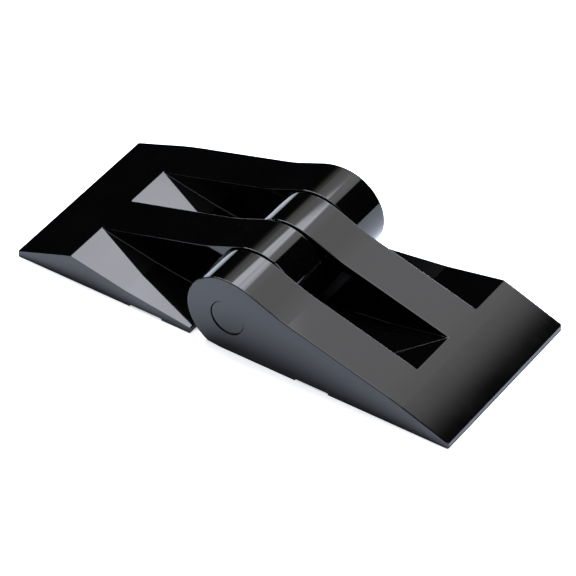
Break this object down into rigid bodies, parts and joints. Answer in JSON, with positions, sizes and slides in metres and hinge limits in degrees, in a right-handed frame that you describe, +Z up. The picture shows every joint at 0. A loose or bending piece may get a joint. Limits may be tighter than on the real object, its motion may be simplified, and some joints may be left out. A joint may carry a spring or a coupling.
{
  "type": "folding wheel chock",
  "caption": "Folding wheel chock: two interleaved moulded wedges on one hinge pin, open flat; arms nest in the opposite wedge's pockets when folded.",
  "frame": {"origin": "on the ground, under the middle of the hinge axis, with the chock open and flat", "axes": "+X along the chock towards the right wedge's toe, +Y along the hinge axis towards the back, +Z up"},
  "size_m": [0.38, 0.155, 0.0661],
  "materials": {
    "moulded_shell": "gloss black moulding",
    "base_plastic": "matt black moulding",
    "pad_rubber": "ribbed rubber",
    "screw_steel": "zinc plated",
    "pin_steel": "drawn tube, zinc plated",
    "cap_plastic": "gloss black moulding",
    "bearing_plastic": "natural acetal"
  },
  "bodies": {
    "left_half": {"left_wedge": "moulded_shell", "left_base_plate": "base_plastic", "left_base_screws": "screw_steel", "left_toe_pad": "pad_rubber", "left_heel_pad": "pad_rubber", "hinge_pin": "pin_steel", "pin_cap_front": "cap_plastic", "pin_cap_rear": "cap_plastic", "knuckle_bush_2": "bearing_plastic", "knuckle_bush_4": "bearing_plastic", "thrust_washer_1": "bearing_plastic", "thrust_washer_2": "bearing_plastic", "thrust_washer_3": "bearing_plastic"},
    "right_half": {"right_wedge": "moulded_shell", "right_base_plate": "base_plastic", "right_base_screws": "screw_steel", "right_toe_pad": "pad_rubber", "right_heel_pad": "pad_rubber", "knuckle_bush_1": "bearing_plastic", "knuckle_bush_3": "bearing_plastic"}
  },
  "joints": [
    {"name": "hinge", "type": "hinge", "parent": "left_half", "child": "right_half", "pos_m": [0, 0, 0.031], "axis": [0, -1, 0], "range_deg": [0, 180]}
  ]
}
